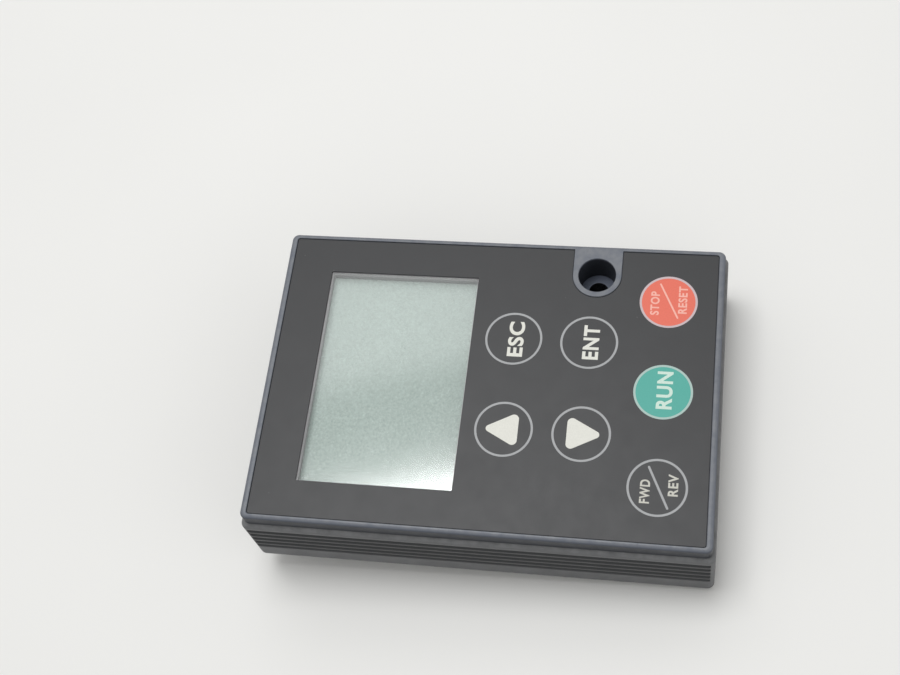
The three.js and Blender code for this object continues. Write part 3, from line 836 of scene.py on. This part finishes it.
def build_prints(inks):
    """Arrows and plain function words."""
    for key, colour in (("escape", "ink_white"), ("enter", "ink_white"), ("run", "ink_mint")):
        add_print(f"{key}_print", key, words_on(key), inks[colour])
    for key, direction in (("up", 1), ("down", -1)):
        parts = [arrow(KEYS[key].x, KEYS[key].y, direction)]
        add_print(f"{key}_print", key, parts, inks["ink_white"])
    add_print("stop_print", "stop", words_on("stop") + [slash_on("stop")], inks["ink_pink"])
    add_print("direction_words", "direction", words_on("direction"), inks["ink_soft_white"])
    add_print("direction_slash", "direction", [slash_on("direction")], inks["ring_ink"])


# ---- display
def build_window(window_finish, edge_finish, gasket_finish):
    """The clear plate fills the film's window, and a gasket round it reaches down to the display."""
    low, high = mm_box("display_window")
    x, y, half_x, half_y = WINDOW
    plate = contoured("display_window_plate", x, y, half_x, half_y, 0.3,
                      bottom_edge(0.08, low.z, 2) + top_edge(0.12, high.z, 3))
    dress(plate, [window_finish, edge_finish], CASE, ["display_window"])
    for polygon in plate.data.polygons:
        if abs(polygon.normal.z) < 0.99:
            polygon.material_index = 1
    foot = mm_box("display_glass")[1].z + 0.03
    play = 0.15                     # between the gasket and the opening
    levels = [(play + inset, z) for inset, z in bottom_edge(0.1, foot, 2)] + [(play, high.z)]
    gasket = contoured("display_gasket", *OPENING, OPENING_CORNER, levels)
    inside = rounded_rectangle(x, y, half_x + 0.03, half_y + 0.03, 0.3)
    cut(gasket, prism("inside", inside, BELOW, ABOVE))
    dress(gasket, [gasket_finish], CASE)


def build_display(glass_finish, face_finish):
    low, high = mm_box("display_glass")
    centre, half = (low + high) / 2, (high - low) / 2
    ledge, sheet, split = 1.3, 0.2, (low.z + high.z) / 2
    rear = contoured("display_rear_glass", centre.x, centre.y, half.x, half.y, 0.1,
                     bottom_edge(0.05, low.z, 1) + top_edge(0.05, split - 0.01, 1), 1)
    front = contoured("display_front_glass", centre.x, centre.y, half.x, half.y - ledge, 0.1,
                      bottom_edge(0.05, split + 0.01, 1) + top_edge(0.05, high.z - sheet, 1), 1)
    face = contoured("display_polarizer", centre.x, centre.y, half.x - 0.5, half.y - ledge + 0.3, 0.3,
                     [(0.0, high.z - sheet + 0.01)] + top_edge(0.03, high.z, 2), 4)
    for piece, finish in ((rear, glass_finish), (front, glass_finish), (face, face_finish)):
        dress(piece, [finish], CASE)
    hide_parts("display_glass")


# ---- rear connector
def build_connector(steel, gold, black):
    low, high = mm_box("connector_shell")
    width, height, wall = CONNECTOR["width"], CONNECTOR["height"], CONNECTOR["wall"]
    flange_low = FLOOR_Z + 0.05
    flange = contoured("connector_shell_metal", 0, CONNECTOR_Y, high.x, (high.y - low.y) / 2, 1.0,
                       bottom_edge(0.08, flange_low, 2) + top_edge(0.08, flange_low + 0.8, 2))
    collar = d_solid("collar", width, height, bottom_edge(0.18, low.z, 4) + [(0.0, flange_low + 0.4)])
    join(flange, collar)
    inside = d_solid("inside", width - 2 * wall, height - 2 * wall,
                     [(-0.12, BELOW), (-0.12, low.z), (0.0, low.z + 0.12), (0.0, ABOVE)])
    hole_levels = [(JACK["hole"], BELOW), (JACK["hole"], ABOVE)]
    holes = [
        round_bar("hole", side * JACK["x"], CONNECTOR_Y, hole_levels, 48) for side in (-1, 1)
    ]
    radius = DIMPLE["radius"]
    slants = [math.radians(degrees) for degrees in range(-80, 81, 20)]
    ball_levels = [(radius * math.cos(slant), radius * math.sin(slant)) for slant in slants]
    reach = height / 2 + radius - DIMPLE["depth"]
    dimples = []
    for side in (-1, 1):
        for x in (-DIMPLE["x"], DIMPLE["x"]):
            ball = round_bar("dimple", x, 0, ball_levels, 24)
            place = (0, CONNECTOR_Y + side * reach, DIMPLE["z"])
            ball.data.transform(Matrix.Translation(place))
            dimples.append(ball)
    cut(flange, inside, *holes, *dimples)
    dress(flange, [steel], CASE, ["connector_shell"])
    build_insulator(black)
    for i in range(1, 10):
        build_pin(i, gold)
    for side, name in ((-1, "left"), (1, "right")):
        build_jack_nut(side, name, steel)


def build_insulator(finish):
    low, high = mm_box("connector_insulator")
    width, height, wall = CONNECTOR["width"], CONNECTOR["height"], CONNECTOR["wall"]
    back_z = FLOOR_Z + 0.95
    block = contoured("connector_insulator_body", 0, CONNECTOR_Y, high.x, (high.y - low.y) / 2, 0.3,
                      bottom_edge(0.15, back_z, 2) + top_edge(0.15, high.z, 2))
    nose = d_solid("nose", width - 2 * wall - 0.2, height - 2 * wall - 0.2,
                   bottom_edge(0.12, low.z, 2) + [(0.0, back_z + 0.3)])
    join(block, nose)
    cutters = []
    for i in range(1, 10):
        pin = middle(f"connector_pin_{i}")
        levels = [(0.8, BELOW), (0.8, low.z - 0.001), (0.55, low.z + 0.25), (0.55, ABOVE)]
        cutters.append(round_bar("pin_hole", pin.x, pin.y, levels, 32))
    cut(block, *cutters)
    dress(block, [finish], CASE, ["connector_insulator"])


def build_pin(i, finish):
    node = f"connector_pin_{i}"
    low, high = mm_box(node)
    x, y = (low.x + high.x) / 2, (low.y + high.y) / 2
    radius = (high.x - low.x) / 2
    levels = [(0.04, low.z)]
    for degrees in range(15, 91, 15):
        slant = math.radians(degrees)
        levels.append((radius * math.sin(slant), low.z + radius * (1 - math.cos(slant))))
    levels += [(radius, high.z - 0.15), (radius - 0.15, high.z)]
    pin = round_bar(f"{node}_metal", x, y, levels, 32)
    dress(pin, [finish], CASE, [node])


def build_jack_nut(side, name, finish):
    node = f"jack_nut_{name}"
    low, high = mm_box(node)
    x = side * JACK["x"]
    hexagon = (high.y - low.y) / 2
    top = REAR_Z - 0.05
    bore = JACK["thread"]
    body = round_bar(f"{node}_metal", x, CONNECTOR_Y, [(hexagon, low.z), (hexagon, top)], 6)
    chamfer = round_bar("chamfer", x, CONNECTOR_Y, [
        (hexagon - 0.55, low.z), (hexagon + 0.1, low.z + 0.38),
        (hexagon + 0.1, top - 0.38), (hexagon - 0.3, top)], ROUND)
    keep(body, chamfer)
    shank_levels = [(1.4, top - 0.5), (1.4, high.z - 0.2), (1.2, high.z)]
    join(body, round_bar("shank", x, CONNECTOR_Y, shank_levels, 48))
    thread = [(bore + 0.3, BELOW), (bore + 0.3, low.z), (bore, low.z + 0.3)]
    z = low.z + 0.4
    while z < top - 0.5:
        thread += [(bore, z), (bore + 0.14, z + 0.11), (bore, z + 0.22)]
        z += 0.28
    thread.append((bore, top))
    cut(body, round_bar("thread", x, CONNECTOR_Y, thread, 48))
    dress(body, [finish], CASE, [node])


# ---- case screws and label
def build_case_screw(name, finish):
    node = f"case_screw_{name}"
    low, high = mm_box(node)
    x, y = (low.x + high.x) / 2, (low.y + high.y) / 2
    head = (high.x - low.x) / 2
    seat = low.z + 1.5
    shank = SCREW["shank"]
    profile = [(0.25 * head, low.z), (0.55 * head, low.z + 0.03)]
    for degrees in range(20, 91, 14):
        slant = math.radians(degrees)
        profile.append((head * (0.55 + 0.45 * math.sin(slant)),
                        low.z + 0.75 * (1 - math.cos(slant)) + 0.03))
    profile += [(head, seat - 0.1), (head - 0.1, seat), (shank - 0.15, seat)]
    z = seat + 0.4
    while z < high.z - 1.6:
        profile += [(shank - 0.3, z), (shank, z + 0.3), (shank - 0.3, z + 0.6)]
        z += 0.9
    profile += [(shank - 0.3, high.z - 1.0), (0.1, high.z)]
    screw = round_bar(f"{node}_metal", x, y, profile, 48)
    arms = []
    for along_x in (True, False):
        sections = []
        for half, z in ((1.25 * 1.15, low.z - 0.5), (1.25, low.z), (1.25 * 0.35, low.z + 1.1)):
            half_x, half_y = (half, 0.25) if along_x else (0.25, half)
            outline = rounded_rectangle(x, y, half_x, half_y, 0.08, 3)
            sections.append([(px, py, z) for px, py in outline])
        arms.append(loft("arm", sections))
    core = round_bar("core", x, y, [(0.62, low.z - 0.5), (0.56, low.z), (0.1, low.z + 1.35)], 24)
    cut(screw, *arms, core)
    screw.data.transform(Matrix.Translation((-x, -y, 0)))
    screw.data.transform(Matrix.Rotation(x + y, 4, "Z"))
    screw.data.transform(Matrix.Translation((x, y, 0)))
    dress(screw, [finish], CASE, [node])


def build_label(finish, ink):
    """A blank label with a printed border line."""
    low, high = mm_box("rear_label")
    centre, half = (low + high) / 2, (high - low) / 2

    def sheet(name, inset, radius, bottom, top):
        return contoured(name, centre.x, centre.y, half.x - inset, half.y - inset, radius,
                         [(0.0, bottom), (0.0, top)])

    label = sheet("rear_label_sheet", 0.0, 0.8, low.z + 0.02, high.z)
    dress(label, [finish], CASE, ["rear_label"])
    outer = sheet("rear_label_line", 1.2, 0.6, low.z + 0.004, low.z + 0.03)
    cut(outer, sheet("inner", 1.4, 0.4, low.z - 1.0, high.z + 1.0))
    dress(outer, [ink], CASE)


# ---- finishes
def clear_sheet(name, tint, roughness, mirror):
    """A clear plate: light goes straight through, and each face mirrors a share of it."""
    finish = Finish(name, tint, roughness)
    clear = finish.node("ShaderNodeBsdfTransparent", {"Color": tint})
    smear = finish.uneven(6.0, roughness, roughness + 0.015, detail=3.0)
    gloss = finish.node("ShaderNodeBsdfGlossy", {"Roughness": smear})
    slant = finish.node("ShaderNodeLayerWeight", {"Blend": 0.5})
    grazing = finish.math("POWER", slant.outputs["Facing"], 5.0)
    mirrored = finish.math("ADD", finish.math("MULTIPLY", grazing, 1.0 - mirror), mirror)
    mix = finish.node("ShaderNodeMixShader", {
        "Fac": mirrored, 1: clear.outputs["BSDF"], 2: gloss.outputs["BSDF"]})
    finish.tree.nodes.remove(finish.shader)
    output = next(node for node in finish.tree.nodes if node.type == "OUTPUT_MATERIAL")
    finish.feed(output.inputs["Surface"], mix.outputs["Shader"])
    return finish.material


def display_face(name):
    """The reflective grey-green face of an unlit display, with the sparkle of its matte coat."""
    base = srgb(180, 199, 193)
    finish = Finish(name, base, 0.3, Specular_IOR_Level=0.6)
    cloud = finish.uneven(16.0, 0.0, 1.0, detail=1.0)
    grain = finish.noise(0.36, detail=2.0, roughness=0.7)
    tone = finish.blend(cloud, shade(base, 0.97), shade(base, 1.03))
    coat = finish.span(grain, 0.3, 0.7, 0.0, 1.0)
    finish.colour(finish.blend(coat, shade(base, 0.72), tone))
    finish.roughness(finish.span(grain, 0.3, 0.7, 0.2, 0.28))
    finish.bump(grain, 0.0015, 0.5)
    return finish.material


def ink(name, colour):
    """Screen-printed ink: nearly even, with slightly ragged cover."""
    finish = Finish(name, colour, 0.5, Specular_IOR_Level=0.4)
    cover = finish.noise(0.25, detail=3.0)
    opaque = finish.span(cover, 0.3, 0.7, 0.0, 1.0)
    finish.colour(finish.blend(opaque, shade(colour, 0.93), colour))
    finish.roughness(finish.uneven(1.1, 0.44, 0.56))
    finish.bump(cover, 0.003, 0.6)
    return finish.material


def painted_board(name):
    """Solder mask over faint copper tracks."""
    base = srgb(24, 84, 52)
    finish = Finish(name, base, 0.35)
    pitch = 6 * MM
    tracks = finish.node("ShaderNodeTexBrick", {
        "Scale": 1 / pitch, "Mortar Size": 0.03, "Mortar": srgb(58, 128, 74),
        "Color1": base, "Color2": shade(base, 1.15), "Vector": finish.place,
    })
    weave = finish.noise(0.4, detail=2.0)
    finish.colour(finish.blend(
        finish.span(weave, 0.3, 0.7, 0.0, 0.3), tracks.outputs["Color"], shade(base, 0.8)))
    finish.roughness(finish.span(weave, 0.3, 0.7, 0.3, 0.45))
    finish.bump(tracks.outputs["Fac"], 0.02, 0.5)
    return finish.material


def inner_finishes():
    """Finishes by slot. Some of them are for visible pieces too."""
    return {
        "steel": metal("tinned_steel", srgb(186, 188, 190), 0.34, 0.5),
        "light_guide": moulded_plastic("milky_light_guide", srgb(226, 228, 222), 0.3, 0.5, 0.002),
        "contact_rubber": moulded_plastic("contact_rubber", srgb(196, 140, 138), 0.75, 0.25, 0.01),
        "board": painted_board("circuit_board_mask"),
        "black_plastic": moulded_plastic("black_component", srgb(34, 35, 37), 0.5, 0.2, 0.006),
        "plunger_plastic": moulded_plastic("plunger_acetal", srgb(214, 211, 200), 0.42, 0.35, 0.004),
    }


INNER_NODES = {
    "display_frame": "steel", "crystal": "steel",
    "display_backlight": "light_guide",
    "contact_strip_upper": "contact_rubber", "contact_strip_lower": "contact_rubber",
    "circuit_board": "board",
    "microcontroller": "black_plastic", "capacitor": "black_plastic",
    "voltage_regulator": "black_plastic",
}


def dress_inner_nodes(finishes):
    """Gives the CAD nodes that stay as they are a finish by their slot."""
    wanted = dict(INNER_NODES)
    for key in KEY_NAMES:
        wanted[f"{key}_key_plunger"] = "plunger_plastic"
        wanted[f"{key}_switch_body"] = "black_plastic"
        wanted[f"{key}_switch_button"] = "black_plastic"
    for node, slot in wanted.items():
        for material_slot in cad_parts[node].material_slots:
            material_slot.material = finishes[slot]


# ---- light, floor and camera
WORLD_COLOUR = (1.0, 0.997, 0.985, 1.0)
WORLD_STRENGTH = 0.48
TABLE_COLOUR = srgb(238, 238, 236)
TABLE_SIZE = 4.0                    # metres
TABLE_GAP = 0.02                    # millimetres between the table and what stands on it
FOOT_INSET = 1.3                    # the keypad rests on its rear edge, this far from its end
CAMERA = {
    "place": (-0.10098, -0.03796, 0.25464), "turn_degrees": (27.910, 7.795, -82.950),
    "sensor_width": 36.0, "lens": 59.35, "shift_y": -0.0583,
}
SOFTBOX_TURN = math.radians(16.5)   # of both softboxes, round Z
# The mirror images of two facing edges cross the display. For each softbox: a point of that edge,
# how far its centre is from there, its size in metres and its watts.
SOFTBOXES = {
    "overhead_softbox": ((0.187, 0.127, 0.6), -0.125, (0.25, 0.30), 1.7),
    "side_softbox": ((0.252, 0.153, 0.6), 0.14, (0.28, 0.5), 0.46),
}
SIDE_FILL = {"place": (-0.35, -0.75, 0.55), "size": (0.8, 0.6), "power": 1.0}


def add_area_light(name, place, aim, size, power):
    light = bpy.data.lights.new(name, "AREA")
    light.shape = "RECTANGLE"
    light.size, light.size_y = size
    light.energy = power
    lamp = new_object(name, light)
    lamp.location = place
    lamp.rotation_euler = (Vector(aim) - Vector(place)).to_track_quat("-Z", "Y").to_euler()
    return lamp


def build_world():
    world = bpy.data.worlds.new("studio")
    bpy.context.scene.world = world
    world.use_nodes = True
    background = world.node_tree.nodes["Background"]
    background.inputs["Color"].default_value = WORLD_COLOUR
    background.inputs["Strength"].default_value = WORLD_STRENGTH


def build_floor():
    """The keypad rests on its rear edge and on the connector, so the floor slopes under it."""
    contact_far = Vector((0.0, CONNECTOR_Y - CONNECTOR["height"] / 2, SHELL_LOW.z))
    contact_near = Vector((0.0, -OUTER_Y + FOOT_INSET, REAR_Z))
    slope = math.atan2(contact_near.z - contact_far.z, contact_far.y - contact_near.y)
    bpy.ops.mesh.primitive_grid_add(x_subdivisions=4, y_subdivisions=4, size=TABLE_SIZE)
    floor = bpy.context.object
    floor.name = "floor"
    floor.rotation_euler = (-slope, 0.0, 0.0)
    floor.location = (contact_far - Vector((0, 0, TABLE_GAP))) * MM
    finish = Finish("pale_table", TABLE_COLOUR, 0.5, Specular_IOR_Level=0.3)
    finish.colour(finish.blend(
        finish.uneven(60.0, 0.0, 1.0), shade(TABLE_COLOUR, 0.985), TABLE_COLOUR))
    finish.roughness(finish.uneven(60.0, 0.45, 0.55))
    floor.data.materials.append(finish.material)


def build_camera():
    camera = bpy.data.cameras.new("camera")
    camera.sensor_width = CAMERA["sensor_width"]
    camera.lens = CAMERA["lens"]
    camera.shift_y = CAMERA["shift_y"]
    camera.clip_start = 0.01
    holder = new_object("camera", camera)
    holder.location = CAMERA["place"]
    holder.rotation_euler = Euler(map(math.radians, CAMERA["turn_degrees"]), "XYZ")
    bpy.context.scene.camera = holder


def build_lights():
    """Two level softboxes with a gap between them, turned a little round Z, and a weak side fill."""
    across = Vector((math.cos(SOFTBOX_TURN), math.sin(SOFTBOX_TURN), 0.0))
    for name, (edge, distance, size, power) in SOFTBOXES.items():
        centre = Vector(edge) + across * distance
        lamp = add_area_light(name, centre, centre + Vector((0, 0, -1)), size, power)
        lamp.rotation_euler = (0.0, 0.0, SOFTBOX_TURN)
    add_area_light("side_fill", SIDE_FILL["place"], (0, 0, 0), SIDE_FILL["size"], SIDE_FILL["power"])


def build_stage():
    build_world()
    build_floor()
    build_camera()
    build_lights()
    bpy.context.scene.view_settings.view_transform = "Standard"


# ---- assembly
COLOURS = {
    # The rubbed colours are partly wear and partly a painted highlight on the edges.
    "bezel": srgb(96, 101, 112), "rubbed_highlight_bezel": srgb(122, 125, 130), "recess": srgb(92, 99, 114),
    "housing": srgb(98, 99, 101), "rubbed_highlight_housing": srgb(132, 133, 134),
    "film": srgb(50, 51, 53), "coral": srgb(231, 111, 90), "teal": srgb(76, 171, 158),
    "window_edge": srgb(186, 183, 186), "gasket": srgb(170, 167, 170),
    "glass_edge": srgb(150, 158, 154), "gold": srgb(222, 180, 92),
    "label": srgb(205, 206, 206), "label_ink": srgb(90, 92, 95),
}
INK_COLOURS = {
    "ring_ink": srgb(166, 168, 170), "ring_rose": srgb(200, 184, 188),
    "ring_pale": srgb(172, 196, 190), "ink_white": srgb(224, 224, 216),
    "ink_soft_white": srgb(200, 199, 190), "ink_pink": srgb(245, 182, 168),
    "ink_mint": srgb(205, 228, 216),
}

build_stage()
bezel_plastic = moulded_plastic(
    "bezel_plastic", COLOURS["bezel"], 0.42, 0.2, 0.006, specular=0.3,
    # lighter patches on the rim's top: partly wear, partly a painted highlight
    rubbed_highlight=(RIM_TOP - 0.3, RIM_TOP - 0.02, COLOURS["rubbed_highlight_bezel"]),
    # painted shade on the lip wall and the fixing bore, darker downwards
    painted_shade=(RIM_TOP - 0.65, RIM_TOP - 0.15, 0.27))
recess_plastic = moulded_plastic(
    "recess_plastic", COLOURS["recess"], 0.42, 0.2, 0.006, specular=0.3)
housing_plastic = moulded_plastic(
    "housing_plastic", COLOURS["housing"], 0.5, 0.18, 0.01, specular=0.25,
    # lighter patches on the shoulder: partly wear, partly a painted highlight
    rubbed_highlight=(PARTING_Z - 0.8, PARTING_Z, COLOURS["rubbed_highlight_housing"]),
    # painted shade of the grooves: the fluted band is darker
    painted_groove_shade=(LOWEST_GROOVE - GROOVE["mouth"] / 2, TOP_GROOVE + GROOVE["mouth"] / 2,
          OUTER_Y - GROOVE["end"], 0.58))
film_finish = printed_film("film_charcoal", COLOURS["film"])
fills = {
    "stop": (printed_film("film_coral", COLOURS["coral"]), "film_red"),
    "run": (printed_film("film_teal", COLOURS["teal"]), "film_green"),
}
inks = {name: ink(name, colour) for name, colour in INK_COLOURS.items()}
rings = {"stop": inks["ring_rose"], "run": inks["ring_pale"]}
finishes = inner_finishes()

build_bezel(bezel_plastic, recess_plastic)
build_housing(housing_plastic)
build_film(film_finish)
for key_name, key_centre in KEYS.items():
    fill_finish, fill_slot = fills.get(key_name, (film_finish, "film"))
    ring_finish = rings.get(key_name, inks["ring_ink"])
    build_key_face(key_name, key_centre, film_finish, ring_finish, fill_finish)
build_prints(inks)
build_window(
    clear_sheet("clear_window", (0.99, 0.995, 0.99, 1.0), 0.09, 0.1),
    moulded_plastic("window_edge", COLOURS["window_edge"], 0.5, 0.3, 0.002),
    moulded_plastic("gasket_grey", COLOURS["gasket"], 0.6, 0.3, 0.004))
build_display(
    moulded_plastic("display_glass_edge", COLOURS["glass_edge"], 0.2, 0.5, 0.001),
    display_face("display_face"))
build_connector(
    finishes["steel"], metal("gold_plate", COLOURS["gold"], 0.25, 0.4), finishes["black_plastic"])
for screw_name in CASE_SCREWS:
    build_case_screw(screw_name, finishes["steel"])
build_label(
    moulded_plastic("label_sheet", COLOURS["label"], 0.35, 0.4, 0.002),
    ink("label_ink", COLOURS["label_ink"]))
dress_inner_nodes(finishes)
